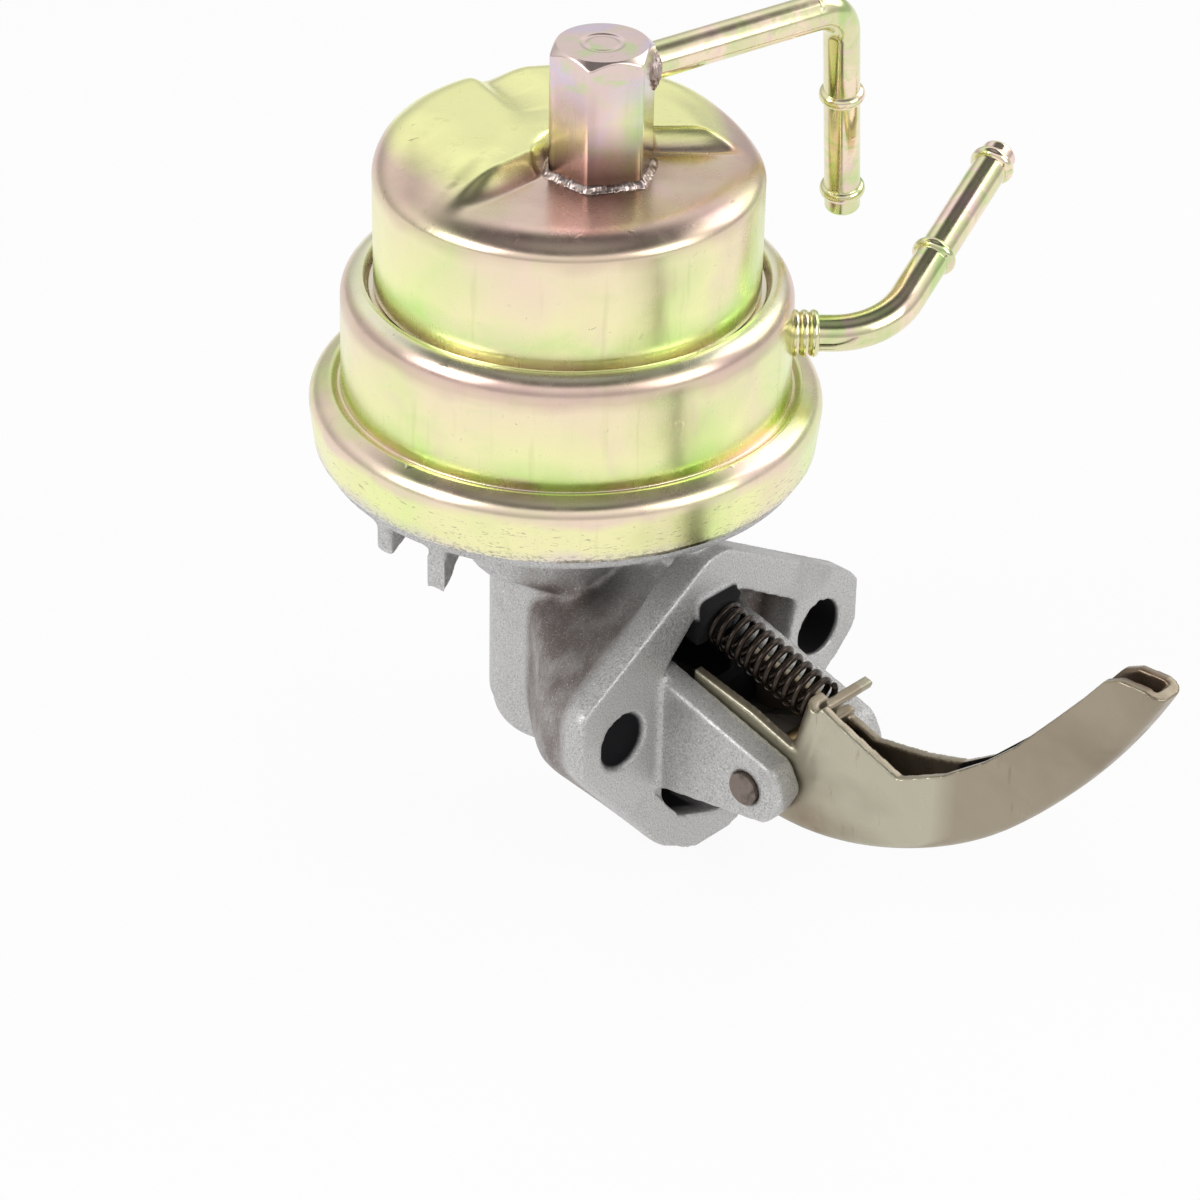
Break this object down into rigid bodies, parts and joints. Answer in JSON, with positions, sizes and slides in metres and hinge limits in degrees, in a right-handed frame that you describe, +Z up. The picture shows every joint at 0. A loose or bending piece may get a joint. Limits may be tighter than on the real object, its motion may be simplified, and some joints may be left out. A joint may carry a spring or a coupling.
{
  "type": "mechanical fuel pump",
  "caption": "Mechanical fuel pump: plated stacked cans over a cast flanged body, bent inlet and outlet pipes, and a spring-loaded rocker arm that works a diaphragm.",
  "frame": {"origin": "midway between the two bolt holes, on the flange's mounting face", "axes": "+X out of the mounting face towards the engine, along the rocker arm; +Z up along the axis of the cans; +Y along the line of the bolt holes"},
  "size_m": [0.1644, 0.1203, 0.1362],
  "materials": {
    "plated_can": "satin yellow zinc plating with pink and green tints",
    "plated_pipe": "satin yellow zinc plating",
    "plated_hex": "satin yellow zinc plating",
    "braze": "lumpy silver braze",
    "cast_alloy": "sparkling cast grain",
    "arm_steel": "satin olive steel",
    "spring_steel": "dark oiled wire",
    "pin_steel": "ground dark steel",
    "lever_steel": "dark oiled sheet",
    "bush_brass": "plain brass",
    "rubber_black": "matt black",
    "plate_steel": "bright sheet",
    "valve_alloy": "machined casting",
    "valve_brass": "turned brass"
  },
  "bodies": {
    "housing": {"lower_body": "cast_alloy", "main_can": "plated_can", "top_can": "plated_can", "hex_outlet": "plated_hex", "hex_braze": "braze", "outlet_weld": "braze", "outlet_pipe": "plated_pipe", "inlet_pipe": "plated_pipe", "inlet_collar": "plated_pipe", "return_spring": "spring_steel", "pivot_pin": "pin_steel", "diaphragm": "rubber_black", "oil_seal": "rubber_black", "seal_washer": "plate_steel", "diaphragm_spring": "spring_steel", "valve_plate": "valve_alloy", "inlet_valve_cage": "valve_brass", "inlet_valve_spring": "spring_steel", "outlet_valve_cage": "valve_brass", "outlet_valve_spring": "spring_steel", "transfer_tube": "plate_steel"},
    "rocker": {"rocker_arm": "arm_steel"},
    "lever": {"pull_lever": "lever_steel", "lever_bush": "bush_brass"},
    "rod": {"pull_rod": "plate_steel", "lower_plate": "plate_steel", "upper_plate": "plate_steel"},
    "inlet_disc": {"inlet_valve_disc": "rubber_black"},
    "outlet_disc": {"outlet_valve_disc": "rubber_black"}
  },
  "joints": [
    {"name": "rocker_hinge", "type": "hinge", "parent": "housing", "child": "rocker", "pos_m": [0.0183, -0.0025, -0.0044], "axis": [0, -1, 0], "range_deg": [0, 4.9], "stiffness_Nm_per_rad": 0.5, "springref_deg": -5.73, "deforming": ["return_spring"]},
    {"name": "lever_hinge", "type": "hinge", "parent": "housing", "child": "lever", "pos_m": [0.0183, -0.0025, -0.0044], "axis": [0, -1, 0], "range_deg": [0, 4.9]},
    {"name": "rod_slide", "type": "slide", "parent": "housing", "child": "rod", "axis": [0, 0, -1], "range_m": [0, 0.0045], "deforming": ["diaphragm", "diaphragm_spring"]},
    {"name": "inlet_valve_lift", "type": "slide", "parent": "housing", "child": "inlet_disc", "axis": [0, 0, -1], "range_m": [0, 0.0006], "stiffness_N_per_m": 50, "springref_m": -0.001, "deforming": ["inlet_valve_spring"]},
    {"name": "outlet_valve_lift", "type": "slide", "parent": "housing", "child": "outlet_disc", "axis": [0, 0, 1], "range_m": [0, 0.0006], "stiffness_N_per_m": 50, "springref_m": -0.001, "deforming": ["outlet_valve_spring"]}
  ],
  "couplings": [
    {"joint": "lever_hinge", "follows": "rocker_hinge", "ratio": 1},
    {"joint": "rod_slide", "follows": "rocker_hinge", "m_per_rad": 0.0522}
  ]
}
